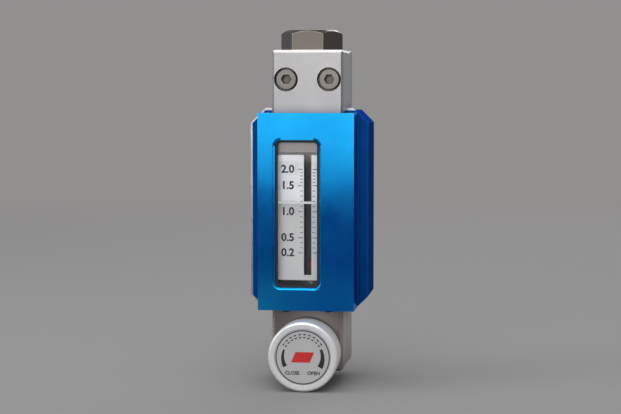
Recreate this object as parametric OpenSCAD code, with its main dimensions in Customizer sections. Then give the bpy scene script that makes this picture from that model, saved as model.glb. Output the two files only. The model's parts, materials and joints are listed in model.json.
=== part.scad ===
/*
Panel-mounted flow control valve with a variable-area flow meter.
Two end blocks are screwed to a back bar. A glass measuring tube with a float stands between
them inside a two-part housing, and a needle valve in the bottom block sets the flow.
Frame: X to the right, Y away from the viewer, Z up. The origin is the centre of the back bar's
rear face, which lies against the panel.
*/

/* [Blocks and bar] */
// Width of the end blocks and the back bar
block_w = 25; // [25:0.5:25.2]
// Depth of the end blocks, front to back
block_d = 25; // [24.5:0.5:27]
// Thickness of the back bar
bar_t = 5; // [4.5:0.5:6]
// Overall height of the blocks and the bar
frame_h = 112; // [111:0.5:114]
// Height of the lower end of the top block
top_block_low = 19.8; // [19:0.1:20.3]
// Height of the upper end of the bottom block
bottom_block_high = -26.5; // [-27:0.1:-25.8]
// Edge chamfer of the blocks
block_chamfer = 0.9; // [0.3:0.1:1.4]

/* [Housing] */
// Width of the front cover
cover_w = 33.5; // [33.5:0.5:36]
// Height of the front cover
cover_h = 68.5; // [68:0.5:72]
// Depth of the front cover
cover_d = 12.5; // [12:0.5:14]
// Thickness of the front cover's front wall
cover_t = 3.5; // [3:0.1:4]
// Width of the rear housing
housing_w = 41; // [40:0.5:46]
// Height of the rear housing
housing_h = 70; // [69:0.5:74]
// Depth of the rear housing
housing_d = 22.5; // [22:0.5:23]
// Corner cut of the rear housing
housing_cut = 4.5; // [2:0.5:6]
// Thickness of the edge strips round the rear housing
strip_t = 1; // [0.6:0.1:1.4]
// How far the edge strips stand out of the rear housing's top and bottom
strip_out = 0.8; // [0.4:0.1:1]

/* [Window and scale] */
// Width of the window
window_w = 15.5; // [12:0.5:16]
// Height of the window
window_h = 51.3; // [46:0.5:53]
// Sideways offset of the window's centre
window_x = -3.1; // [-4:0.1:0]
// Height of the window's centre
window_z = -0.75; // [-2:0.05:1]
// Width of the sight slot in the scale plate
slot_w = 2.7; // [2.4:0.1:3.8]

/* [Measuring tube] */
// Outer diameter of the glass tube
tube_od = 8; // [7:0.1:8.2]
// Length of the glass tube
tube_len = 57; // [56:0.1:57.1]
// Bore radius at the lower end of the tube
tube_bore_low = 1.75; // [1.7:0.01:1.8]
// Bore radius at the upper end of the tube
tube_bore_high = 2.4; // [2.3:0.05:2.6]
// Largest diameter of the float
float_d = 3.2; // [3:0.05:3.25]
// Height of the float
float_h = 4.5; // [4:0.1:5]

/* [Needle valve] */
// Diameter of the knob
knob_d = 24; // [22:0.5:27]
// Length of the knob
knob_l = 12.1; // [11:0.1:14]
// Height of the valve axis
valve_z = -49.2; // [-49.4:0.1:-49]
// Outer diameter of the spindle's threaded part
spindle_d = 4; // [3.6:0.1:4.2]
// Travel of the needle from closed to fully open
needle_travel = 2.5; // [1:0.1:2.5]

/* [Ports and screws] */
// Bore radius of the two threaded ports, G 1/4
port_r = 5.72; // [5:0.01:5.8]
// Depth of the upper port
port_depth_top = 8; // [7:0.1:8]
// Depth of the lower port
port_depth_low = 7.5; // [7:0.1:7.8]
// Height of the upper port
port_z_top = 31.5; // [30.5:0.5:32]
// Height of the lower port
port_z_low = -43.5; // [-44:0.1:-43.3]
// Sideways distance of the block screws from the middle
screw_x = 7.5; // [7.4:0.05:7.6]
// Across-flats width of the top plug
plug_af = 19; // [17:0.5:21]
// Bore radius of the panel fixing holes, M4
fixing_r = 1.65; // [1.6:0.01:1.7]

/* [Hidden] */
$fn = 96;

eps = 0.1;               // overshoot of cutting tools
thread_gap = 0.05;       // radial gap between a plain-cylinder thread and its hole
run_gap = 0.05;          // radial gap of a running fit
half_h = frame_h / 2;

// Depth planes, counted from the rear face
block_rear = -bar_t;
block_front = -bar_t - block_d;
tube_y = block_rear - block_d / 2;
cover_rear = -housing_d;
cover_front = cover_rear - cover_d;
cover_wall_rear = cover_front + cover_t;
pocket_w = block_w + 0.2;

// Block screws, M4 with counterbored heads
m4_r = 2;
m4_head_r = 3.5;
m4_head_l = 4;
m4_counter_r = 4.2;
m4_counter_l = 4.4;
screw_z_top = 45.8;
screw_z_low = -31.2;

// Panel fixing and housing screws lie midway between the ports
rear_mid_z = (port_z_top + port_z_low) / 2;
fixing_span = 40;
housing_screw_span = 20;
port_clear_r = 10;

// Rear housing
web_t = 4;
web_low = -24;
web_high = 18;
seat_groove_x = 16.9;
seat_groove_w = 1.1;
seat_groove_depth = 0.9;
strip_y = cover_rear + 2;
strip_in = 1.5;
strip_left = 0.95;
strip_right = -0.2;
cover_screw_x = 15;
cover_screw_z = 26;
m2_r = 1;
m2_head_r = 1.9;
m2_head_l = 1.6;
m2_seat_y = -14;
m2_tip_y = cover_rear - 5;
m3_r = 1.5;
m3_head_r = 2.9;
m3_head_l = 1.7;

// Window pane and scale plate
pane_t = 1.2;
pane_seal_t = 0.6;
pane_seal_lip = 0.9;
pane_margin = 2.6;
window_corner = 2;
window_bevel = 0.8;
plate_t = 0.8;
plate_front = -29;
plate_groove = 1;
plate_low = -24.2;
plate_high = 19.6;
slot_low = -22.4;

// Measuring tube, stops and seals
tube_r = tube_od / 2;
tube_top = 26;
tube_low = tube_top - tube_len;
socket_gap = 0.3;
socket_r = tube_r + socket_gap;
socket_low = tube_low - 0.5;
seal_r = 5.45;
seal_h = 1.7;
seal_slack = 0.05;
seal_z_top = 22.4;
seal_z_low = -29.3;
stop_high_z = 20;
stop_low_z = -23;
flange_r = 3.5;
flange_t = 0.4;

// Top plug
plug_thread_r = 7;
plug_thread_l = 7;
plug_head_l = 7;
plug_seal_r = 8.5;
plug_seal_t = 1.3;
plug_turn = -2;
plug_cone_h = 1.9;

// Needle valve, from front to back
knob_rear = block_front - 0.9;
knob_front = knob_rear - knob_l;
bonnet_head_l = 3.5;
bonnet_af = 11;
bonnet_thread_r = 4;
bonnet_end = block_front + 7;
bonnet_step = block_front + 0.3;
piston_r = 2.95;
piston_front = bonnet_step + needle_travel + 0.2;
piston_rear = bonnet_end - 0.6;
spindle_seal_l = 1.4;
spindle_seal_in = 2.1;
seat_r = 2.5;
seat_front = -15.5;
seat_rear = -13.5;
seat_hole_r = 1.2;
needle_tip_y = -13;
stub_r = 1;
stub_l = 2.3;
swivel_gap = 0.03;
feed_r = 1.5;
spindle_tip = -38.5;
knob_recess_r = 7.2;
knob_recess_l = 3.3;
dial_r = 9.7;
dial_t = 0.6;
m25_r = 1.25;
m25_head_r = 2.25;
m25_head_l = 2.2;
m25_len = 5.5;

// ---- shared shapes ----

// A cylinder along +Y from depth y0 to y1
module along_y(x, z, y0, y1, r, r2 = undef) {
    translate([x, y0, z])
        rotate([-90, 0, 0])
            cylinder(h = y1 - y0, r1 = r, r2 = r2 == undef ? r : r2);
}

// A rectangle with cut corners, centred
module cut_rect(w, h, c) {
    polygon([[-w/2 + c, -h/2], [w/2 - c, -h/2], [w/2, -h/2 + c], [w/2, h/2 - c],
             [w/2 - c, h/2], [-w/2 + c, h/2], [-w/2, h/2 - c], [-w/2, -h/2 + c]]);
}

// A rectangle with round corners, centred
module round_rect(w, h, r) {
    union() {
        square([w - 2*r, h], center = true);
        square([w, h - 2*r], center = true);
        for (sx = [-1, 1], sz = [-1, 1])
            translate([sx*(w/2 - r), sz*(h/2 - r)]) circle(r = r);
    }
}

// Turns a drawing in the XZ plane into a slab from depth y0 to y1
module slab(y0, y1) {
    translate([0, y1, 0]) rotate([90, 0, 0]) linear_extrude(y1 - y0) children();
}

// A box with chamfered edges, its centre at the middle of its height
module chamfered_box(w, d, h, c) {
    intersection() {
        translate([0, 0, -h/2]) linear_extrude(h) cut_rect(w, d, c);
        rotate([90, 0, 0]) translate([0, 0, -d/2]) linear_extrude(d) cut_rect(w, h, c);
        rotate([90, 0, 90]) translate([0, 0, -w/2]) linear_extrude(w) cut_rect(d, h, c);
    }
}

// A ring seal with rounded edges, standing on z = 0
module seal_ring(r_in, r_out, h) {
    e = min(h, r_out - r_in) * 0.3;
    rotate_extrude()
        polygon([[r_in + e, 0], [r_out - e, 0], [r_out, e], [r_out, h - e],
                 [r_out - e, h], [r_in + e, h], [r_in, h - e], [r_in, e]]);
}

// A socket cap screw along +Y, the head's front face at depth y
module cap_screw_y(x, z, y, shank_r, head_r, head_l, length, key_af) {
    difference() {
        union() {
            along_y(x, z, y, y + head_l, head_r);
            along_y(x, z, y + head_l - eps, y + head_l + length, shank_r);
        }
        translate([x, y - eps, z]) rotate([-90, 0, 0])
            cylinder(h = head_l*0.55 + eps, d = key_af / cos(30), $fn = 6);
    }
}

module block_screw_places() {
    for (sx = [-1, 1], z = [screw_z_top, screw_z_low]) translate([sx*screw_x, 0, z]) children();
}

module cover_screw_places() {
    for (sx = [-1, 1], sz = [-1, 1])
        translate([sx*cover_screw_x, 0, sz*cover_screw_z]) children();
}

// Counterbore and clearance hole of one block screw, and the thread hole in the bar behind it
module block_screw_cut() {
    along_y(0, 0, block_front - eps, block_front + m4_counter_l, m4_counter_r);
    along_y(0, 0, block_front, eps, m4_r + 0.15);
}

// ---- frame ----

module back_bar() {
    color([0.72, 0.72, 0.73])
    difference() {
        translate([0, -bar_t/2, 0]) chamfered_box(block_w, bar_t, frame_h, 0.4);
        block_screw_places() along_y(0, 0, -bar_t - eps, eps, m4_r + thread_gap);
        for (z = [port_z_top, port_z_low]) along_y(0, z, -bar_t - eps, eps, port_clear_r);
        for (s = [-1, 1]) {
            along_y(0, rear_mid_z + s*fixing_span/2, -bar_t - eps, eps, fixing_r);
            along_y(0, rear_mid_z + s*housing_screw_span/2, -bar_t - eps, eps, m3_r + 0.1);
            along_y(0, rear_mid_z + s*housing_screw_span/2, -m3_head_l - 0.1, eps, m3_head_r + 0.15);
        }
    }
}

module top_block() {
    height = half_h - top_block_low;
    color([0.80, 0.79, 0.79])
    difference() {
        translate([0, tube_y, top_block_low + height/2])
            chamfered_box(block_w, block_d, height, block_chamfer);
        translate([0, tube_y, top_block_low - eps]) cylinder(h = height, r = socket_r);
        translate([0, tube_y, half_h - plug_thread_l])
            cylinder(h = plug_thread_l + eps, r = plug_thread_r + thread_gap);
        translate([0, tube_y, half_h - plug_seal_t - 0.1])
            cylinder(h = plug_seal_t + 1, r = plug_seal_r + 0.1);
        translate([0, tube_y, seal_z_top - seal_h/2 - seal_slack])
            cylinder(h = seal_h + 2*seal_slack, r = seal_r + seal_slack);
        along_y(0, port_z_top, block_rear - port_depth_top, block_rear + eps, port_r);
        along_y(0, port_z_top, tube_y, block_rear - port_depth_top + eps, 3);
        for (sx = [-1, 1]) translate([sx*screw_x, 0, screw_z_top]) block_screw_cut();
    }
}

module bottom_block() {
    height = bottom_block_high + half_h;
    color([0.62, 0.58, 0.54])
    difference() {
        translate([0, tube_y, -half_h + height/2])
            chamfered_box(block_w, block_d, height, block_chamfer);
        translate([0, tube_y, socket_low]) cylinder(h = 20, r = socket_r);
        translate([0, tube_y, valve_z]) cylinder(h = socket_low - valve_z + eps, r = feed_r);
        translate([0, tube_y, seal_z_low - seal_h/2 - seal_slack])
            cylinder(h = seal_h + 2*seal_slack, r = seal_r + seal_slack);
        along_y(0, port_z_low, block_rear - port_depth_low, block_rear + eps, port_r);
        along_y(0, valve_z, block_front - eps, bonnet_end, bonnet_thread_r + thread_gap);
        along_y(0, valve_z, block_front - eps, block_front + 1.1, 5.3);
        along_y(0, valve_z, bonnet_end - eps, seat_front, piston_r + 0.05);
        along_y(0, valve_z, seat_front - eps, seat_rear, seat_r + 0.02);
        along_y(0, valve_z, seat_rear - eps, block_rear - port_depth_low/2, seat_hole_r);
        for (sx = [-1, 1]) translate([sx*screw_x, 0, screw_z_low]) block_screw_cut();
    }
}

module block_screws() {
    color([0.55, 0.55, 0.56])
    block_screw_places()
        cap_screw_y(0, 0, block_front + m4_counter_l - m4_head_l, m4_r, m4_head_r, m4_head_l,
            -0.6 - block_front - m4_counter_l, 3);
}

// ---- housing ----

// The rear housing's outline, moved outwards by d
module housing_outline(d) {
    cut_rect(housing_w + 2*d, housing_h + 2*d, housing_cut + d*(2 - sqrt(2)));
}

module rear_housing() {
    color([0.02, 0.22, 0.45])
    difference() {
        slab(-housing_d, 0) housing_outline(0);
        // Pocket for the blocks and the bar, which leaves a web behind the tube
        difference() {
            translate([-pocket_w/2, -housing_d - eps, -housing_h])
                cube([pocket_w, housing_d + 2*eps, 2*housing_h]);
            translate([-pocket_w/2 - 1, -bar_t - web_t, web_low])
                cube([pocket_w + 2, web_t, web_high - web_low]);
        }
        // A groove down each side of the front cover
        for (sx = [-1, 1])
            translate([sx*(seat_groove_x + seat_groove_w/2) - seat_groove_w/2, -housing_d - eps,
                -housing_h])
                cube([seat_groove_w, seat_groove_depth + eps, 2*housing_h]);
        // Slot that holds the edge strips
        difference() {
            slab(strip_y - strip_t/2 - 0.05, strip_y + strip_t/2 + 0.05) housing_outline(2);
            slab(strip_y - strip_t, strip_y + strip_t) housing_outline(-strip_in);
        }
        cover_screw_places() {
            along_y(0, 0, -housing_d - eps, 0, m2_r + 0.1);
            along_y(0, 0, m2_seat_y, eps, m2_head_r + 0.1);
        }
        for (s = [-1, 1])
            along_y(0, rear_mid_z + s*housing_screw_span/2, -bar_t - web_t - eps, 0,
                m3_r + thread_gap);
    }
}

module housing_screws() {
    color([0.6, 0.6, 0.62])
    for (s = [-1, 1])
        translate([0, 0, rear_mid_z + s*housing_screw_span/2]) rotate([0, 0, 180])
            cap_screw_y(0, 0, 0.1, m3_r, m3_head_r, m3_head_l, bar_t + web_t - m3_head_l - 0.6, 2);
}

module edge_strips() {
    color([0.86, 0.85, 0.82])
    difference() {
        // The strip stands out of the left flank and lies a little deep in the right one
        slab(strip_y - strip_t/2, strip_y + strip_t/2)
            translate([(strip_right - strip_left)/2, 0])
                cut_rect(housing_w + strip_left + strip_right, housing_h + 2*strip_out,
                    housing_cut + 0.8);
        slab(strip_y - strip_t, strip_y + strip_t) housing_outline(-strip_in);
        translate([-pocket_w/2, -housing_d, -housing_h])
            cube([pocket_w, housing_d, 2*housing_h]);
    }
}

module front_cover() {
    color([0.05, 0.45, 0.75])
    difference() {
        translate([-cover_w/2, cover_front, -cover_h/2]) cube([cover_w, cover_d, cover_h]);
        translate([-pocket_w/2, cover_wall_rear, -cover_h]) cube([pocket_w, cover_d, 2*cover_h]);
        translate([window_x, 0, window_z]) {
            slab(cover_front - eps, cover_wall_rear + eps)
                round_rect(window_w, window_h, window_corner);
            // Bevelled front edge of the window
            translate([0, cover_front, 0]) rotate([-90, 0, 0])
                window_bevel_cut();
        }
        // Recess for the pane and its seal
        slab(cover_wall_rear - pane_t - pane_seal_t, cover_wall_rear + eps)
            translate([window_x, window_z]) pane_outline(0.1);
        // Grooves that hold the scale plate
        translate([-pocket_w/2 - plate_groove, plate_front - 0.1, plate_low - 0.1])
            cube([pocket_w + 2*plate_groove, plate_t + 0.2, plate_high - plate_low + 0.2]);
        cover_screw_places() along_y(0, 0, m2_tip_y - 0.3, cover_rear + eps, m2_r + 0.02);
    }
}

// Four wedges and four cones round the window's front edge, with the front face at z = 0
module window_bevel_cut() {
    b = window_bevel;
    for (sx = [-1, 1], sz = [-1, 1])
        translate([sx*(window_w/2 - window_corner), sz*(window_h/2 - window_corner), 0])
            cylinder(h = b, r1 = window_corner + b, r2 = window_corner);
    for (s = [-1, 1]) {
        translate([s*window_w/2, 0, 0]) rotate([90, 0, 0])
            linear_extrude(window_h - 2*window_corner, center = true)
                polygon([[-b, -eps], [b, -eps], [0, b], [-b, b]]);
        translate([0, s*window_h/2, 0]) rotate([90, 0, 90])
            linear_extrude(window_w - 2*window_corner, center = true)
                polygon([[-b, -eps], [b, -eps], [0, b], [-b, b]]);
    }
}

module pane_outline(slack) {
    round_rect(window_w + 2*pane_margin + 2*slack, window_h + 2*pane_margin + 2*slack, 1);
}

module window_pane() {
    color([0.85, 0.92, 0.95, 0.4])
    slab(cover_wall_rear - pane_t, cover_wall_rear)
        translate([window_x, window_z]) pane_outline(-0.05);
}

module pane_seal() {
    pane_front = cover_wall_rear - pane_t;
    color([0.1, 0.1, 0.1])
    translate([window_x, 0, window_z])
        difference() {
            slab(pane_front - pane_seal_t, pane_front) pane_outline(-0.05);
            slab(pane_front - pane_seal_t - eps, pane_front + eps)
                round_rect(window_w - 2*pane_seal_lip, window_h - 2*pane_seal_lip, 1.2);
        }
}

module cover_screws() {
    color([0.6, 0.6, 0.62])
    cover_screw_places() rotate([0, 0, 180])
        cap_screw_y(0, 0, -m2_seat_y - m2_head_l, m2_r, m2_head_r, m2_head_l,
            m2_seat_y - m2_tip_y, 1.5);
}

module scale_plate() {
    color([0.93, 0.93, 0.93])
    difference() {
        translate([-pocket_w/2 - plate_groove + 0.1, plate_front, plate_low])
            cube([pocket_w + 2*plate_groove - 0.2, plate_t, plate_high - plate_low]);
        // Sight slot, open at the top
        translate([-slot_w/2, plate_front - eps, slot_low])
            cube([slot_w, plate_t + 2*eps, plate_high - slot_low + eps]);
    }
}

// ---- measuring tube ----

module measuring_tube() {
    e = 0.4;
    color([0.8, 0.88, 0.9, 0.5])
    translate([0, tube_y, tube_low])
        rotate_extrude()
            polygon([[tube_bore_low, 0], [tube_r - e, 0], [tube_r, e], [tube_r, tube_len - e],
                     [tube_r - e, tube_len], [tube_bore_high, tube_len]]);
}

module float() {
    r = float_d / 2;
    color([0.5, 0.05, 0.07])
    translate([0, tube_y, stop_low_z])
        rotate_extrude()
            polygon([[0, 0], [0.5, 0], [r*0.62, float_h*0.42], [r*0.62, float_h*0.55],
                     [r, float_h*0.68], [r, float_h*0.9], [r*0.8, float_h], [0, float_h]]);
}

module upper_stop() {
    color([0.9, 0.9, 0.88])
    translate([0, tube_y, 0])
        difference() {
            union() {
                translate([0, 0, stop_high_z]) cylinder(h = tube_top - stop_high_z + eps, r = 2.1);
                translate([0, 0, tube_top]) cylinder(h = flange_t, r = flange_r);
            }
            translate([0, 0, stop_high_z - eps]) cylinder(h = 8, r = 1.1);
        }
}

module lower_stop() {
    color([0.75, 0.75, 0.76])
    translate([0, tube_y, 0])
        difference() {
            union() {
                translate([0, 0, tube_low - eps]) cylinder(h = stop_low_z - tube_low + eps, r = 1.65);
                translate([0, 0, tube_low - flange_t]) cylinder(h = flange_t, r = flange_r);
            }
            translate([0, 0, tube_low - 1]) cylinder(h = 12, r = 0.8);
        }
}

module upper_tube_seal() {
    color([0.1, 0.1, 0.1])
    translate([0, tube_y, seal_z_top - seal_h/2]) seal_ring(tube_r, seal_r, seal_h);
}

module lower_tube_seal() {
    color([0.1, 0.1, 0.1])
    translate([0, tube_y, seal_z_low - seal_h/2]) seal_ring(tube_r, seal_r, seal_h);
}

module top_plug() {
    corner_r = plug_af / 2 / cos(30);
    color([0.5, 0.47, 0.43])
    translate([0, tube_y, half_h]) {
        intersection() {
            rotate([0, 0, plug_turn]) cylinder(h = plug_head_l, r = corner_r, $fn = 6);
            // Turned cone that takes the top corners off
            rotate_extrude()
                polygon([[0, -1], [corner_r + 1, -1], [corner_r + 1, plug_head_l - plug_cone_h],
                         [plug_af/2 - 0.6, plug_head_l], [0, plug_head_l]]);
        }
        translate([0, 0, -plug_thread_l + 0.3]) cylinder(h = plug_thread_l, r = plug_thread_r);
    }
}

module plug_seal() {
    color([0.1, 0.1, 0.1])
    translate([0, tube_y, half_h - plug_seal_t])
        seal_ring(plug_thread_r + 0.05, plug_seal_r, plug_seal_t);
}

// ---- needle valve ----

module valve_bonnet() {
    head_front = block_front - bonnet_head_l;
    color([0.7, 0.66, 0.5])
    difference() {
        union() {
            translate([0, head_front, valve_z]) rotate([-90, 0, 0])
                cylinder(h = bonnet_head_l, d = bonnet_af / cos(30), $fn = 6);
            along_y(0, valve_z, block_front - eps, bonnet_end, bonnet_thread_r);
        }
        along_y(0, valve_z, head_front - eps, bonnet_end + eps, spindle_d/2 + run_gap);
        along_y(0, valve_z, bonnet_step, bonnet_end + eps, piston_r + run_gap);
    }
}

module bonnet_seal() {
    color([0.1, 0.1, 0.1])
    translate([0, block_front, valve_z]) rotate([-90, 0, 0])
        seal_ring(bonnet_thread_r + 0.02, 5.2, 1);
}

module valve_spindle() {
    groove_front = piston_front + 0.9;
    color([0.72, 0.72, 0.73])
    difference() {
        union() {
            along_y(0, valve_z, spindle_tip, piston_front + eps, spindle_d/2);
            along_y(0, valve_z, piston_front, piston_rear, piston_r);
        }
        // Groove of the spindle seal
        difference() {
            along_y(0, valve_z, groove_front, groove_front + spindle_seal_l, piston_r + 1);
            along_y(0, valve_z, groove_front - 1, groove_front + spindle_seal_l + 1,
                spindle_seal_in);
        }
        // Swivel socket of the needle
        along_y(0, valve_z, piston_rear - stub_l - 0.1, piston_rear + eps, stub_r + swivel_gap);
        // Thread of the knob screw
        along_y(0, valve_z, spindle_tip - eps, spindle_tip + m25_len, m25_r + thread_gap);
    }
}

module spindle_seal() {
    color([0.1, 0.1, 0.1])
    translate([0, piston_front + 0.95, valve_z]) rotate([-90, 0, 0])
        seal_ring(spindle_seal_in, piston_r, spindle_seal_l - 0.1);
}

module needle() {
    shoulder_r = 2;
    shoulder_l = 1.6;
    color([0.75, 0.75, 0.76])
    translate([0, piston_rear + 0.1, valve_z]) rotate([-90, 0, 0])
        rotate_extrude()
            polygon([[0, -stub_l], [stub_r, -stub_l], [stub_r, 0], [shoulder_r, 0],
                     [shoulder_r, shoulder_l], [1.1, shoulder_l + 1],
                     [1.1, seat_front - piston_rear - 0.2],
                     [0.35, needle_tip_y - piston_rear - 0.1],
                     [0, needle_tip_y - piston_rear - 0.1]]);
}

module valve_seat() {
    color([0.9, 0.9, 0.86])
    difference() {
        along_y(0, valve_z, seat_front, seat_rear, seat_r);
        along_y(0, valve_z, seat_front - eps, seat_rear + eps, seat_hole_r);
        along_y(0, valve_z, seat_rear - 0.7, seat_rear + eps, 1.9);
    }
}

module seat_seal() {
    color([0.1, 0.1, 0.1])
    translate([0, seat_rear - 0.65, valve_z]) rotate([-90, 0, 0])
        seal_ring(seat_hole_r + 0.02, 1.85, 0.6);
}

module knob() {
    r = knob_d / 2;
    edge = 0.6;
    color([0.83, 0.83, 0.84])
    translate([0, 0, valve_z])
        difference() {
            translate([0, knob_front, 0]) rotate([-90, 0, 0])
                rotate_extrude()
                    polygon([[0, 0], [r - edge, 0], [r, edge], [r, knob_l - edge],
                             [r - edge, knob_l], [0, knob_l]]);
            along_y(0, 0, knob_front - eps, knob_front + dial_t, dial_r + 0.1);
            along_y(0, 0, knob_rear - knob_recess_l, knob_rear + eps, knob_recess_r);
            along_y(0, 0, spindle_tip, knob_rear, spindle_d/2 + 0.02);
            along_y(0, 0, knob_front, knob_rear, m25_r + 0.1);
            along_y(0, 0, knob_front, spindle_tip - 0.9, m25_head_r + 0.1);
        }
}

module knob_screw() {
    head_front = spindle_tip - 0.9 - m25_head_l;
    color([0.6, 0.6, 0.62])
    cap_screw_y(0, valve_z, head_front, m25_r, m25_head_r, m25_head_l, m25_len, 2);
}

module knob_dial() {
    color([0.78, 0.79, 0.79])
    along_y(0, valve_z, knob_front + 0.1, knob_front + dial_t, dial_r);
}

back_bar();
top_block();
bottom_block();
block_screws();
rear_housing();
housing_screws();
edge_strips();
front_cover();
cover_screws();
window_pane();
pane_seal();
scale_plate();
measuring_tube();
float();
upper_stop();
lower_stop();
upper_tube_seal();
lower_tube_seal();
top_plug();
plug_seal();
valve_bonnet();
bonnet_seal();
valve_spindle();
spindle_seal();
needle();
valve_seat();
seat_seal();
knob();
knob_screw();
knob_dial();
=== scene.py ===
import json
import math

import bmesh
import bpy
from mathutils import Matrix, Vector

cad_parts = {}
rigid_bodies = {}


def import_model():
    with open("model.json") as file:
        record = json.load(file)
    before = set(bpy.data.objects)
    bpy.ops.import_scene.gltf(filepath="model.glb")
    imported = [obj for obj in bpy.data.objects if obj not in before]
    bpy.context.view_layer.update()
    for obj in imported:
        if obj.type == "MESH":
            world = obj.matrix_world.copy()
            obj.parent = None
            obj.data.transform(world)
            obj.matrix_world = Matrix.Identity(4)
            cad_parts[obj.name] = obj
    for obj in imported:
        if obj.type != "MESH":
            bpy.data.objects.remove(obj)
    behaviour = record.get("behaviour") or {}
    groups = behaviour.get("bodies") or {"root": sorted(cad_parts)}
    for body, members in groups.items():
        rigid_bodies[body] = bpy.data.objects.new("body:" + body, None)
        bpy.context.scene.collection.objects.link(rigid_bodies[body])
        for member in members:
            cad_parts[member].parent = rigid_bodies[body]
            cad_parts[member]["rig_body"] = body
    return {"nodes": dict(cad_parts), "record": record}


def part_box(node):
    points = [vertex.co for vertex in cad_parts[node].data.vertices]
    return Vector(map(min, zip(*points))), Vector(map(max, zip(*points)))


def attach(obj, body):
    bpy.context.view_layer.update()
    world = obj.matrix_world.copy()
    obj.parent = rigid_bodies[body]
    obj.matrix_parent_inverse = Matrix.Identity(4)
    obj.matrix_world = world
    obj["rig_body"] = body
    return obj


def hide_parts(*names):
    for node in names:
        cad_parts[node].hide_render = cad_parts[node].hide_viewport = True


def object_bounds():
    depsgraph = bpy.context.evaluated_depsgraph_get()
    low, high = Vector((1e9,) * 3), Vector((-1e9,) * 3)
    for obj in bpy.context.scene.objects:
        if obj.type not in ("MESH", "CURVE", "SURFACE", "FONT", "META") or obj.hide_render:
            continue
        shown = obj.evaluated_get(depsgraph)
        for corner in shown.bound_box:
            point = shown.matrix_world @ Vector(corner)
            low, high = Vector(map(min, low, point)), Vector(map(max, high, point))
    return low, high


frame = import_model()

cad_low, cad_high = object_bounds()
MM = 0.001
NODES = frame["nodes"]


# ---------------------------------------------------------------- small helpers

def new_object(name, data):
    """A new object in the scene, with this mesh, curve, lamp or camera."""
    obj = bpy.data.objects.new(name, data)
    bpy.context.scene.collection.objects.link(obj)
    return obj


def object_from(name, mesh):
    """A new object from a bmesh, which is used up."""
    data = bpy.data.meshes.new(name)
    mesh.to_mesh(data)
    mesh.free()
    return new_object(name, data)


def applied(obj):
    """Puts an object's modifiers into its mesh."""
    graph = bpy.context.evaluated_depsgraph_get()
    mesh = bpy.data.meshes.new_from_object(obj.evaluated_get(graph))
    obj.modifiers.clear()
    obj.data = mesh


def shade_by_angle(obj, degrees=30):
    """Smooth shading, with edges sharper than this angle kept sharp."""
    mesh = obj.data
    mesh.polygons.foreach_set("use_smooth", [True] * len(mesh.polygons))
    mesh.set_sharp_from_angle(angle=math.radians(degrees))


def dress(obj, material):
    """Gives an object one material."""
    obj.data.materials.clear()
    obj.data.materials.append(material)


def middle(node):
    """The middle of a CAD node's box."""
    low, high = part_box(node)
    return (low + high) / 2


# ---------------------------------------------------------------- shader helpers

RECESS_SHADE = (0.40, 0.37, 0.35)      # how much of a metal's colour its painted shade in recesses keeps
TURNED_FEED = 0.16 * MM          # from one ring of a turned surface to the next


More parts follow.
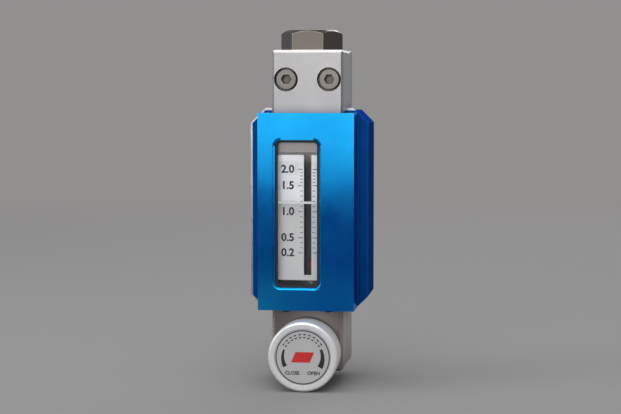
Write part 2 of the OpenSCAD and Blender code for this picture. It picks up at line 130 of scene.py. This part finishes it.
class Shader:
    """A material's node tree, built by short calls."""

    def __init__(self, name):
        self.material = bpy.data.materials.new(name)
        self.material.use_nodes = True
        self.tree = self.material.node_tree
        self.bsdf = self.tree.nodes["Principled BSDF"]
        self.output = self.tree.nodes["Material Output"]
        self.place = self.tree.nodes.new("ShaderNodeTexCoord").outputs["Object"]

    def link(self, source, target):
        """A wire from one socket to another."""
        self.tree.links.new(source, target)

    def set(self, **values):
        """Constant values on the Principled node, such as Metallic=1."""
        for name, value in values.items():
            self.bsdf.inputs[name.replace("_", " ")].default_value = value

    def math(self, operation, a, b=0.0):
        """A sum, product or other operation on sockets or numbers."""
        node = self.tree.nodes.new("ShaderNodeMath")
        node.operation = operation
        for socket, value in zip(node.inputs, (a, b)):
            if isinstance(value, (int, float)):
                socket.default_value = value
            else:
                self.link(value, socket)
        return node.outputs[0]

    def noise(self, scale, stretch=(1, 1, 1), detail=3.0):
        """Noise in the object's own metres; scale is in cells per metre."""
        mapping = self.tree.nodes.new("ShaderNodeMapping")
        mapping.inputs["Scale"].default_value = [scale * s for s in stretch]
        node = self.tree.nodes.new("ShaderNodeTexNoise")
        node.inputs["Scale"].default_value = 1.0
        node.inputs["Detail"].default_value = detail
        self.link(self.place, mapping.inputs["Vector"])
        self.link(mapping.outputs[0], node.inputs["Vector"])
        return node.outputs[0]

    def range(self, value, low, high, to_low, to_high):
        """The value's range low..high turned into to_low..to_high, and clamped."""
        node = self.tree.nodes.new("ShaderNodeMapRange")
        self.link(value, node.inputs["Value"])
        for name, number in zip(("From Min", "From Max", "To Min", "To Max"),
                                (low, high, to_low, to_high)):
            node.inputs[name].default_value = number
        return node.outputs[0]

    def mix(self, factor, a, b):
        """Colour a where factor is 0 and colour b where it is 1."""
        node = self.tree.nodes.new("ShaderNodeMix")
        node.data_type = "RGBA"
        self.link(factor, node.inputs["Factor"])
        for name, value in (("A", a), ("B", b)):
            socket = [s for s in node.inputs if s.name == name and s.type == "RGBA"][0]
            if isinstance(value, (tuple, list)):
                socket.default_value = (*value, 1.0)
            else:
                self.link(value, socket)
        return [s for s in node.outputs if s.type == "RGBA"][0]

    def edges(self, radius):
        """1 on sharp edges, fading to 0 at this distance from them."""
        bevel = self.tree.nodes.new("ShaderNodeBevel")
        bevel.samples = 6
        bevel.inputs["Radius"].default_value = radius
        normal = self.tree.nodes.new("ShaderNodeNewGeometry").outputs["Normal"]
        dot = self.tree.nodes.new("ShaderNodeVectorMath")
        dot.operation = "DOT_PRODUCT"
        self.link(bevel.outputs[0], dot.inputs[0])
        self.link(normal, dot.inputs[1])
        return self.range(dot.outputs["Value"], 0.99, 0.8, 0.0, 1.0)

    def open_to_air(self, distance):
        """1 where a surface stands free, falling towards 0 in recesses and gaps."""
        node = self.tree.nodes.new("ShaderNodeAmbientOcclusion")
        node.samples = 8
        node.inputs["Distance"].default_value = distance
        return node.outputs["AO"]

    def painted_recess_shade(self, tone, colour, distance, low):
        """The tone, going over to a painted shade of the colour in recesses and gaps, where less
        light reaches.
        """
        return self.mix(self.range(self.open_to_air(distance), low, 0.95, 0.0, 1.0),
                        [c * r for c, r in zip(colour, RECESS_SHADE)], tone)

    def axis(self, name):
        """One coordinate of the object's own space."""
        node = self.tree.nodes.new("ShaderNodeSeparateXYZ")
        self.link(self.place, node.inputs[0])
        return node.outputs[name]

    def colour(self, source):
        """The socket that gives the surface its colour."""
        self.link(source, self.bsdf.inputs["Base Color"])

    def roughness(self, source):
        """The socket that gives the surface its roughness."""
        self.link(source, self.bsdf.inputs["Roughness"])

    def bump(self, height, distance):
        """Fine relief, as high as this distance where the height socket is 1."""
        node = self.tree.nodes.new("ShaderNodeBump")
        node.inputs["Strength"].default_value = 1.0
        node.inputs["Distance"].default_value = distance
        self.link(height, node.inputs["Height"])
        self.link(node.outputs[0], self.bsdf.inputs["Normal"])


def brushed_metal(name, colour, wear_and_glint, rough, grain=(1, 1, 0.04), grain_scale=9000, edge=0.25,
                  spread=0.08, depth=0.006, rim=(1, 1, 1), shade=0):
    """Metal with fine lines along one direction, uneven gloss, edges painted lighter for wear and as
    glints, and painted shade in recesses when shade is given.
    """
    s = Shader(name)
    s.set(Metallic=1.0, Specular_Tint=(*rim, 1.0))
    lines = s.noise(grain_scale, grain, detail=2.0)
    cloud = s.noise(90, detail=4.0)
    tone = s.mix(s.range(cloud, 0.3, 0.7, 0.0, 1.0), colour, [c * 0.9 for c in colour])
    # Painted shade in recesses and gaps, where shade is given
    if shade:
        tone = s.painted_recess_shade(tone, colour, shade * MM, 0.5)
    # Edges painted lighter, partly for wear and partly as painted glints
    scuffs_and_glints = s.math("MULTIPLY", s.edges(edge * MM), s.range(s.noise(1500), 0.35, 0.6, 0.35, 1.0))
    s.colour(s.mix(scuffs_and_glints, tone, wear_and_glint))
    s.roughness(s.math("ADD", s.range(lines, 0.3, 0.7, rough - spread / 2, rough + spread / 2),
                       s.range(cloud, 0.3, 0.7, -0.02, 0.03)))
    s.bump(lines, depth * MM)
    return s.material


def blasted_metal(name, colour, wear_and_glint, rough, shade=4, shade_from=0.35):
    """Metal with the even, matt grain of bead blasting, painted shade in its recesses, and edges
    painted lighter for wear and as glints.
    """
    s = Shader(name)
    s.set(Metallic=1.0)
    grain = s.noise(5200, detail=2.0)
    cloud = s.noise(120, detail=4.0)
    tone = s.mix(s.range(cloud, 0.35, 0.7, 0.0, 1.0), colour, [c * 0.93 for c in colour])
    # Painted shade in recesses and gaps
    tone = s.painted_recess_shade(tone, colour, shade * MM, shade_from)
    # Edges painted lighter, for wear and as painted glints
    s.colour(s.mix(s.edges(0.3 * MM), tone, wear_and_glint))
    s.roughness(s.math("ADD", s.range(grain, 0.3, 0.7, rough - 0.05, rough + 0.05),
                       s.range(cloud, 0.3, 0.7, -0.02, 0.02)))
    s.bump(grain, 0.012 * MM)
    return s.material


def turned_metal(name, colour, wear_and_glint, rough, centre, radial=True, metallic=1.0):
    """Metal with the fine rings of a lathe about a front-to-back axis through centre, and edges
    painted lighter for wear and as glints.
    """
    s = Shader(name)
    s.set(Metallic=metallic)
    x = s.math("SUBTRACT", s.axis("X"), centre.x)
    z = s.math("SUBTRACT", s.axis("Z"), centre.z)
    radius = s.math("SQRT", s.math("ADD", s.math("MULTIPLY", x, x), s.math("MULTIPLY", z, z)))
    along = s.math("ADD", radius, s.axis("Y")) if radial else s.axis("Y")
    rings = s.math("SINE", s.math("MULTIPLY", along, 2 * math.pi / TURNED_FEED))
    cloud = s.noise(700, detail=3.0)
    tone = s.mix(s.range(cloud, 0.35, 0.7, 0.0, 1.0), colour, [c * 0.95 for c in colour])
    # Edges painted lighter, for wear and as painted glints
    s.colour(s.mix(s.edges(0.25 * MM), tone, wear_and_glint))
    s.roughness(s.math("ADD", s.range(rings, -1.0, 1.0, rough - 0.03, rough + 0.03),
                       s.range(cloud, 0.3, 0.7, -0.02, 0.02)))
    s.bump(rings, 0.0010 * MM)
    return s.material


def plain_paint(name, colour, rough, speckle=0.06, metallic=0.0):
    """A painted, printed or moulded surface with slight orange peel and tone changes."""
    s = Shader(name)
    s.set(Metallic=metallic)
    cloud = s.noise(160, detail=4.0)
    peel = s.noise(2600, detail=2.0)
    s.colour(s.mix(s.range(cloud, 0.3, 0.7, 0.0, 1.0), colour, [c * (1 - speckle) for c in colour]))
    s.roughness(s.range(peel, 0.3, 0.7, rough - 0.05, rough + 0.05))
    s.bump(peel, 0.004 * MM)
    return s.material


def coated(name, colour, wear_and_glint, rough, rim):
    """A satin metallic coating with slight tone changes, fine grain, and edges painted lighter for
    wear and as glints.
    """
    s = Shader(name)
    s.set(Metallic=0.75, Specular_IOR_Level=0.0, Specular_Tint=(*rim, 1.0))
    cloud = s.noise(140, detail=4.0)
    grain = s.noise(4200, detail=2.0)
    tone = s.mix(s.range(cloud, 0.3, 0.7, 0.0, 1.0), colour, [c * 0.85 for c in colour])
    # Edges painted lighter, for wear and as painted glints
    s.colour(s.mix(s.edges(0.45 * MM), tone, wear_and_glint))
    s.roughness(s.range(grain, 0.3, 0.7, rough - 0.05, rough + 0.05))
    s.bump(grain, 0.004 * MM)
    return s.material


def clear_glass(name, tint, rough=0.02, index=1.47, smear=0.03, haze=0.0):
    """Glass or clear plastic that lets lamps through, with faint smears in its gloss."""
    s = Shader(name)
    s.set(Metallic=0.0, IOR=index, Transmission_Weight=1.0 - haze, Base_Color=(*tint, 1.0))
    s.roughness(s.range(s.noise(60, detail=4.0), 0.4, 0.8, rough, rough + smear))
    through = s.tree.nodes.new("ShaderNodeBsdfTransparent")
    through.inputs[0].default_value = (*tint, 1.0)
    path = s.tree.nodes.new("ShaderNodeLightPath")
    mix = s.tree.nodes.new("ShaderNodeMixShader")
    s.link(path.outputs["Is Shadow Ray"], mix.inputs[0])
    s.link(s.bsdf.outputs[0], mix.inputs[1])
    s.link(through.outputs[0], mix.inputs[2])
    s.link(mix.outputs[0], s.output.inputs["Surface"])
    return s.material


def scale_paint_and_shade(name, white, grey, line_z):
    """The scale plate's pearly paint, white above the reading line, with painted shade in light grey
    below it for the plate's darker lower part.
    """
    s = Shader(name)
    s.set(Metallic=0.3)
    below = s.range(s.axis("Z"), line_z - 0.1 * MM, line_z + 0.1 * MM, 1.0, 0.0)
    cloud = s.noise(220, detail=4.0)
    tone = s.mix(below, white, grey)
    s.colour(s.mix(s.range(cloud, 0.45, 0.75, 0.0, 0.35), tone, [c * 0.92 for c in grey]))
    s.roughness(s.range(cloud, 0.3, 0.7, 0.34, 0.42))
    s.bump(s.noise(3000, detail=2.0), 0.003 * MM)
    return s.material


# ---------------------------------------------------------------- materials

knob_middle = middle("knob")
READING_LINE_Z = 3.2 * MM

# The lighter edge colours paint both wear and glints on the cover's and housing's edges
BLUE = (0.012, 0.370, 0.810)
BLUE_WORN_GLINT = (0.050, 0.500, 0.900)
NAVY = (0.0030, 0.070, 0.270)
NAVY_WORN_GLINT = (0.015, 0.180, 0.440)
NAVY_RIM = (0.010, 0.230, 0.560)
BLUE_RIM = (0.100, 0.420, 0.800)

mat = {
    "cover": brushed_metal("cover_blue", BLUE, BLUE_WORN_GLINT, 0.17, edge=0.35, rim=BLUE_RIM,
                           spread=0.05, depth=0.003),
    "housing": coated("housing_navy", NAVY, NAVY_WORN_GLINT, 0.45, NAVY_RIM),
    # The top block gets painted shade in its recesses: round its screw heads and behind the window's
    # top edge
    "block": blasted_metal("block_satin", (0.500, 0.488, 0.482), (0.700, 0.690, 0.680), 0.36),
    # The bottom block is the top block's metal, painted lighter and warmer for the light on its side,
    # with deep painted shade where the cover and knob stand over it
    "low_block": blasted_metal("block_lit_and_shaded", (0.600, 0.560, 0.522), (0.680, 0.645, 0.610), 0.36,
                               shade=18, shade_from=0.72),
    "bar": brushed_metal("bar_satin", (0.440, 0.440, 0.445), (0.620, 0.620, 0.630), 0.32),
    "strip": brushed_metal("strip_natural", (0.620, 0.605, 0.575), (0.740, 0.725, 0.700), 0.28),
    # The screws get painted shade in their sockets
    "steel": brushed_metal("screw_steel", (0.240, 0.225, 0.205), (0.520, 0.500, 0.470), 0.26,
                           grain=(1, 1, 1), edge=0.15, shade=2),
    # The plug's edges are painted near white, as glints on its hex
    "plug": brushed_metal("plug_nickel", (0.140, 0.122, 0.106), (0.880, 0.850, 0.810), 0.18,
                          grain=(0.15, 0.15, 1), spread=0.05, edge=0.4),
    "knob": turned_metal("knob_satin", (0.860, 0.855, 0.845), (0.900, 0.895, 0.885), 0.32,
                         knob_middle, metallic=0.45),
    "brass": turned_metal("bonnet_brass", (0.600, 0.470, 0.240), (0.760, 0.640, 0.400), 0.28,
                          knob_middle),
    "spindle": turned_metal("spindle_steel", (0.500, 0.500, 0.505), (0.660, 0.660, 0.665), 0.22,
                            knob_middle, radial=False),
    "rubber": plain_paint("seal_black", (0.018, 0.018, 0.019), 0.62, speckle=0.2),
    "plastic": plain_paint("stop_white", (0.780, 0.775, 0.750), 0.45),
    "float": plain_paint("float_red", (0.520, 0.020, 0.024), 0.25),
    "dial": plain_paint("dial_grey", (0.530, 0.525, 0.515), 0.34, metallic=0.15),
    # The plate's grey lower part is painted shade
    "scale": scale_paint_and_shade("scale_white", (0.950, 0.955, 0.960), (0.690, 0.675, 0.660),
                         READING_LINE_Z),
    "ink": plain_paint("print_black", (0.022, 0.022, 0.026), 0.40, speckle=0.3),
    "red_ink": plain_paint("print_red", (0.620, 0.020, 0.022), 0.38, speckle=0.1),
    "line_ink": plain_paint("print_white", (0.720, 0.720, 0.720), 0.40),
    "pane": clear_glass("pane_clear", (0.965, 0.975, 0.980), index=1.49),
    "tube": clear_glass("tube_glass", (0.960, 0.975, 0.975), rough=0.10, smear=0.08, index=1.52,
                        haze=0.06),
}


# ---------------------------------------------------------------- pieces from the CAD

WELD = 0.001 * MM                # corners closer than this are one
FLAT_DEGREES = 0.6               # faces that meet at less than this are one


def softened(node, material, width, angle=28):
    """A copy of a CAD node with its sharp edges rounded, which stands for that node."""
    mesh = bmesh.new()
    mesh.from_mesh(NODES[node].data)
    bmesh.ops.remove_doubles(mesh, verts=mesh.verts, dist=WELD)
    bmesh.ops.dissolve_limit(mesh, angle_limit=math.radians(FLAT_DEGREES), verts=mesh.verts,
                             edges=mesh.edges)
    piece = object_from(node + "_body", mesh)
    bevel = piece.modifiers.new("edges", "BEVEL")
    bevel.width = width * MM
    bevel.segments = 3
    bevel.limit_method = "ANGLE"
    bevel.angle_limit = math.radians(angle)
    bevel.use_clamp_overlap = True
    piece.data.polygons.foreach_set("use_smooth", [True] * len(piece.data.polygons))
    normals = piece.modifiers.new("normals", "WEIGHTED_NORMAL")
    normals.weight = 100
    applied(piece)
    dress(piece, mat[material])
    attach(piece, NODES[node]["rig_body"])
    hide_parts(node)


softened("front_cover", "cover", 0.10, angle=50)
softened("rear_housing", "housing", 0.20)
softened("edge_strips", "strip", 0.12)
softened("top_block", "block", 0.16)
softened("bottom_block", "low_block", 0.16)
softened("back_bar", "bar", 0.12)
softened("top_plug", "plug", 0.16)
softened("block_screws", "steel", 0.22)
softened("valve_bonnet", "brass", 0.12)
softened("knob", "knob", 0.14)

# These nodes stay as the CAD has them, and only get a material
KEPT = {
    "housing_screws": "steel", "cover_screws": "steel", "knob_screw": "steel",
    "window_pane": "pane", "scale_plate": "scale", "measuring_tube": "tube",
    "float": "float", "upper_stop": "plastic", "lower_stop": "spindle",
    # The pane's seal is black rubber; its dark band round the window also stands in for the painted
    # shadow under the cover's edge
    "pane_seal": "rubber",
    "upper_tube_seal": "rubber", "lower_tube_seal": "rubber", "plug_seal": "rubber",
    "bonnet_seal": "rubber", "spindle_seal": "rubber", "seat_seal": "rubber",
    "valve_spindle": "spindle", "needle": "spindle", "valve_seat": "plastic",
    "knob_dial": "dial",
}
for node_name, look in KEPT.items():
    dress(NODES[node_name], mat[look])


# ---------------------------------------------------------------- printed marks

PRINT_T = 0.03 * MM
FONT_SIZE = 1.4                  # a font's size for each unit of its letters' height
STROKE = 0.045                   # how far the strokes are thickened, in the same unit


def printed(name, faces, y, material, body):
    """Flat printed shapes in a front-facing plane at depth y; each face is a list of (x, z)."""
    mesh = bmesh.new()
    for outline in faces:
        front = [mesh.verts.new((x, y - PRINT_T, z)) for x, z in outline]
        back = [mesh.verts.new((x, y, z)) for x, z in outline]
        mesh.faces.new(front)
        mesh.faces.new(list(reversed(back)))
        for i in range(len(outline)):
            j = (i + 1) % len(outline)
            mesh.faces.new((front[j], front[i], back[i], back[j]))
    bmesh.ops.recalc_face_normals(mesh, faces=mesh.faces)
    piece = object_from(name, mesh)
    dress(piece, mat[material])
    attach(piece, body)


def bar(x0, x1, z, thickness):
    """The outline of a horizontal line."""
    half = thickness / 2
    return [(x0, z - half), (x1, z - half), (x1, z + half), (x0, z + half)]


def arc_band(cx, cz, radius, start, end, width_start, width_end, steps=24):
    """The outlines of an arc whose width changes evenly, as short four-sided pieces.

    The angles start and end are in degrees, counted anticlockwise from the right.
    """
    def rim(t, side):
        angle = math.radians(start + (end - start) * t)
        r = radius + side * (width_start + (width_end - width_start) * t) / 2
        return (cx + r * math.cos(angle), cz + r * math.sin(angle))
    cuts = [i / steps for i in range(steps + 1)]
    return [[rim(a, -1), rim(a, 1), rim(b, 1), rim(b, -1)] for a, b in zip(cuts, cuts[1:])]


def lettering(name, words, y, material, body):
    """Short generic lettering, one entry per (text, x, z, height), as one mesh piece."""
    merged = bmesh.new()
    for text, x, z, height in words:
        curve = bpy.data.curves.new(name, "FONT")
        curve.body = text
        curve.size = height * FONT_SIZE
        curve.align_x = "CENTER"
        curve.align_y = "CENTER"
        curve.extrude = PRINT_T / 2
        curve.offset = height * STROKE
        curve.resolution_u = 4
        obj = new_object(name, curve)
        obj.rotation_euler = (math.pi / 2, 0, 0)
        obj.location = (x, y - PRINT_T / 2, z)
        bpy.context.view_layer.update()
        graph = bpy.context.evaluated_depsgraph_get()
        shape = bpy.data.meshes.new_from_object(obj.evaluated_get(graph))
        shape.transform(obj.matrix_world)
        merged.from_mesh(shape)
        bpy.data.objects.remove(obj)
    piece = object_from(name, merged)
    dress(piece, mat[material])
    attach(piece, body)


# Scale plate: numbers and ticks at both sides of the slot
plate_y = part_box("scale_plate")[0].y
SCALE_NUMBERS = [("2.0", 14.6), ("1.5", 8.9), ("1.0", -0.2), ("0.5", -9.3), ("0.2", -14.6)]
TICKS_BETWEEN = (5, 5, 5, 3)     # steps from each number to the next one down
LEFT_NUMBER_X = -7.0 * MM
RIGHT_NUMBER_X = 5.6 * MM
NUMBER_H = 2.7 * MM
TICK_X = 1.75 * MM               # where the ticks start, beside the slot
LONG_TICK = 1.6 * MM
SHORT_TICK = 0.8 * MM
TICK_T = 0.22 * MM
lettering("scale_numbers",
          [(text, x, z * MM, NUMBER_H) for x in (LEFT_NUMBER_X, RIGHT_NUMBER_X)
           for text, z in SCALE_NUMBERS],
          plate_y, "ink", "base")


def scale_ticks():
    """Long ticks at the numbers and short ones between them, on both sides of the slot."""
    heights = [z * MM for _, z in SCALE_NUMBERS]
    ticks = [(z, LONG_TICK) for z in heights]
    for upper, lower, parts in zip(heights, heights[1:], TICKS_BETWEEN):
        ticks += [(upper + (lower - upper) * i / parts, SHORT_TICK) for i in range(1, parts)]
    return [bar(side * TICK_X, side * (TICK_X + length), z, TICK_T)
            for z, length in ticks for side in (-1, 1)]


printed("scale_ticks", scale_ticks(), plate_y, "ink", "base")

# Reading line on the pane's front face, between the sides of the pane's seal
pane_low, pane_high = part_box("window_pane")
SEAL_EDGE = 3.5 * MM
READING_LINE_T = 0.8 * MM
printed("reading_line",
        [bar(pane_low.x + SEAL_EDGE, pane_high.x - SEAL_EDGE, READING_LINE_Z, READING_LINE_T)],
        pane_low.y, "line_ink", "base")

# Dial print: a ring, a tapered arc at each side, two rows of dashes, two words and a mark
dial = middle("knob_dial")
dial_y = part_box("knob_dial")[0].y
RING_R = 9.2 * MM
RING_T = 0.36 * MM
ring = arc_band(dial.x, dial.z, RING_R, 0, 360, RING_T, RING_T, 96)
printed("dial_ring", ring, dial_y, "ink", "knob")

# The side arcs grow wider towards their lower ends
ARC_R = 6.9 * MM
DASH_ROWS = (ARC_R, ARC_R + 1.0 * MM)
DASHES = 10
DASH_START = 150                 # degrees, as the next two
DASH_STEP = 12.3
DASH_SPAN = 7
DASH_T = 0.4 * MM
arcs = arc_band(dial.x, dial.z, ARC_R, 208, 158, 1.5 * MM, 0.6 * MM)
arcs += arc_band(dial.x, dial.z, ARC_R, 24, -30, 0.9 * MM, 1.9 * MM)
for i in range(DASHES):
    start = DASH_START - i * DASH_STEP
    for row in DASH_ROWS:
        arcs += arc_band(dial.x, dial.z, row, start, start - DASH_SPAN, DASH_T, DASH_T, 4)
printed("dial_arcs", arcs, dial_y, "ink", "knob")

WORD_Z = dial.z - 5.5 * MM
WORD_H = 1.2 * MM
lettering("dial_words",
          [("CLOSE", dial.x - 3.6 * MM, WORD_Z, WORD_H), ("OPEN", dial.x + 3.8 * MM, WORD_Z, WORD_H)],
          dial_y, "ink", "knob")
slanted_bar = [(dial.x + x * MM, dial.z + z * MM)
               for x, z in ((-4.0, -1.8), (2.5, -1.8), (4.0, 1.8), (-2.5, 1.8))]
printed("dial_mark", [slanted_bar], dial_y, "red_ink", "knob")


# ---------------------------------------------------------------- threads

ROOT = 0.05 * MM                 # how deep a thread's ridge stands in its wall
PER_TURN = 48                    # steps round each turn of a thread
FOOT_HALF, CREST_HALF = 0.42, 0.08                   # a ridge's half widths, in pitches


def thread(name, centre, radius, depth, length, pitch, height, material):
    """Thread ridges round a hole along Y: one helical ridge that stands in from its wall."""
    count = int(length / pitch * PER_TURN) + 1
    mesh = bmesh.new()
    rings = []
    for i in range(count):
        angle = 2 * math.pi * i / PER_TURN
        y = depth + pitch * i / PER_TURN
        fade = min(1.0, i / PER_TURN * 2, (count - 1 - i) / PER_TURN * 2)
        crest = radius - height * fade
        c, s = math.cos(angle), math.sin(angle)
        profile = [(radius + ROOT, -pitch * FOOT_HALF), (crest, -pitch * CREST_HALF),
                   (crest, pitch * CREST_HALF), (radius + ROOT, pitch * FOOT_HALF)]
        rings.append([mesh.verts.new((centre.x + r * c, y + dy, centre.z + r * s))
                      for r, dy in profile])
    for a, b in zip(rings, rings[1:]):
        for k in range(4):
            m = (k + 1) % 4
            mesh.faces.new((a[k], a[m], b[m], b[k]))
    mesh.faces.new(rings[0])
    mesh.faces.new(list(reversed(rings[-1])))
    bmesh.ops.recalc_face_normals(mesh, faces=mesh.faces)
    piece = object_from(name, mesh)
    shade_by_angle(piece, 50)
    dress(piece, mat[material])
    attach(piece, "base")


mounts = {m["name"]: m for m in frame["record"]["mounts"]}
PORT_PITCH, PORT_RIDGE = 1.337 * MM, 0.35 * MM
PORT_FOOT, PORT_MOUTH = 0.9 * MM, 0.7 * MM           # what stays plain at a port's two ends
for port, holder in (("outlet_port", "top_block"), ("inlet_port", "bottom_block")):
    spot = mounts[port]
    length = spot["dims"]["length_mm"] * MM
    mouth_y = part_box(holder)[1].y
    thread(port + "_thread", Vector(spot["pos_m"]), spot["dims"]["r_mm"] * MM,
           mouth_y - length + PORT_FOOT, length - PORT_FOOT - PORT_MOUTH, PORT_PITCH, PORT_RIDGE,
           "block")

fixing = mounts["panel_holes"]
FIXING_PITCH, FIXING_RIDGE = 0.7 * MM, 0.18 * MM
FIXING_PLAIN = 0.5 * MM                              # what stays plain at a hole's two ends
half_spacing = fixing["dims"]["spacing_y_mm"] / 2 * MM
bar_front, bar_rear = (corner.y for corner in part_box("back_bar"))
for height, label in ((-half_spacing, "lower"), (half_spacing, "upper")):
    thread("fixing_thread_" + label, Vector(fixing["pos_m"]) + Vector((0, 0, height)),
           fixing["dims"]["hole_r_mm"] * MM, bar_front + FIXING_PLAIN,
           bar_rear - bar_front - 2 * FIXING_PLAIN, FIXING_PITCH, FIXING_RIDGE, "bar")


# ---------------------------------------------------------------- floor, light and camera

object_middle = (cad_low + cad_high) / 2
floor_z = cad_low.z - 0.2 * MM


def area_light(name, place, size, power):
    """A rectangular lamp that faces the object's middle."""
    lamp = bpy.data.lights.new(name, "AREA")
    lamp.shape = "RECTANGLE"
    lamp.size, lamp.size_y = size
    lamp.energy = power
    obj = new_object(name, lamp)
    obj.location = place
    obj.rotation_euler = (object_middle - Vector(place)).to_track_quat("-Z", "Y").to_euler()


def stage_piece(name, corners, faces, material):
    """A piece of the stage, which isn't part of the object."""
    mesh = bpy.data.meshes.new(name)
    mesh.from_pydata(corners, [], faces)
    obj = new_object(name, mesh)
    dress(obj, material)
    return obj


def turned_piece(name, profile, material, steps=96):
    """A stage piece turned about the vertical axis from (radius, height) points."""
    turns = [2 * math.pi * i / steps for i in range(steps)]
    corners = [(radius * math.cos(angle), radius * math.sin(angle), z)
               for radius, z in profile for angle in turns]
    faces = [(row * steps + i, row * steps + (i + 1) % steps,
              (row + 1) * steps + (i + 1) % steps, (row + 1) * steps + i)
             for row in range(len(profile) - 1) for i in range(steps)]
    obj = stage_piece(name, corners, faces, material)
    shade_by_angle(obj)
    return obj


def seen_only(obj, rays):
    """Keeps an object visible to these kinds of ray alone."""
    for kind in ("camera", "diffuse", "glossy", "transmission", "volume_scatter", "shadow"):
        setattr(obj, "visible_" + kind, kind in rays)


def studio_paint(name, near, far, start=0.25, end=0.95):
    """The stage's matt paint, turning into an even glow far out, so no horizon shows."""
    s = Shader(name)
    x, y = s.axis("X"), s.axis("Y")
    radius = s.math("SQRT", s.math("ADD", s.math("MULTIPLY", x, x), s.math("MULTIPLY", y, y)))
    glow = s.range(radius, start, end, 0.0, 1.0)
    s.colour(s.mix(glow, near, (0.0, 0.0, 0.0)))
    s.link(s.mix(glow, (0.0, 0.0, 0.0), far), s.bsdf.inputs["Emission Color"])
    s.set(Roughness=0.75, Specular_IOR_Level=0.0, Emission_Strength=1.0)
    return s.material


# A round floor, with a bend and a wall round it that only the camera sees
studio_grey = studio_paint("studio_grey", (0.265, 0.258, 0.255), (0.285, 0.278, 0.275))
FLOOR_R, BEND_R, WALL_TOP = 2.3, 0.9, 3.5
NO_HOLE_R = 0.00001                                  # the floor's inner edge, too small to see
turned_piece("floor", [(NO_HOLE_R, floor_z), (0.3, floor_z), (FLOOR_R, floor_z)], studio_grey)
bend = [(FLOOR_R + BEND_R * math.sin(math.radians(a)),
         floor_z + BEND_R * (1 - math.cos(math.radians(a)))) for a in range(0, 91, 5)]
seen_only(turned_piece("surround", bend + [(FLOOR_R + BEND_R, WALL_TOP)], studio_grey), ("camera",))

# A dark blue card stands in front and is seen only in reflections, for contrast in bright metal
FLAG_HALF, FLAG_Y = 0.35, cad_low.y - 0.24
FLAG_LOW, FLAG_HIGH = floor_z + 7 * MM, floor_z + 62 * MM
seen_only(stage_piece("flag", [(-FLAG_HALF, FLAG_Y, FLAG_LOW), (FLAG_HALF, FLAG_Y, FLAG_LOW),
                               (FLAG_HALF, FLAG_Y, FLAG_HIGH), (-FLAG_HALF, FLAG_Y, FLAG_HIGH)],
                      [(0, 1, 2, 3)], plain_paint("flag_blue", (0.02, 0.035, 0.26), 0.9)),
          ("glossy",))

# A small card lies on the floor before it, for the dark patch low on the cover
CARD_LEFT, CARD_RIGHT = -0.029, 0.004
CARD_REAR, CARD_Z = cad_low.y - 0.07, floor_z + 1 * MM
seen_only(stage_piece("card", [(CARD_LEFT, FLAG_Y, CARD_Z), (CARD_RIGHT, FLAG_Y, CARD_Z),
                               (CARD_RIGHT, CARD_REAR, CARD_Z), (CARD_LEFT, CARD_REAR, CARD_Z)],
                      [(0, 1, 2, 3)], plain_paint("card_blue", (0.010, 0.014, 0.150), 0.9)),
          ("glossy",))

area_light("front", place=(0.1, -1.5, 0.53), size=(1.8, 1.3), power=10.2)
area_light("top", place=(-0.1, -0.25, 0.9), size=(1.1, 1.1), power=7.5)
area_light("left", place=(-0.9, -0.35, 0.25), size=(0.4, 0.8), power=2.5)
area_light("rear", place=(0.2, 0.9, 0.6), size=(0.9, 0.6), power=4)

world = bpy.data.worlds.new("studio")
bpy.context.scene.world = world
world.use_nodes = True
sky = world.node_tree.nodes["Background"]
sky.inputs["Color"].default_value = (0.475, 0.485, 0.520, 1)
sky.inputs["Strength"].default_value = 0.67

bpy.context.scene.view_settings.view_transform = "Standard"

# The camera stands to the right of the object and a little above its middle
CAMERA_PLACE = Vector((0.074, -0.600, 0.044))
camera_data = bpy.data.cameras.new("camera")
camera_data.lens = 96
camera_data.sensor_width = 36
camera_data.clip_start = 0.01
camera = new_object("camera", camera_data)
camera.location = CAMERA_PLACE
aim = Vector((0.0, object_middle.y, object_middle.z))
camera.rotation_euler = (aim - CAMERA_PLACE).to_track_quat("-Z", "Y").to_euler()
bpy.context.scene.camera = camera
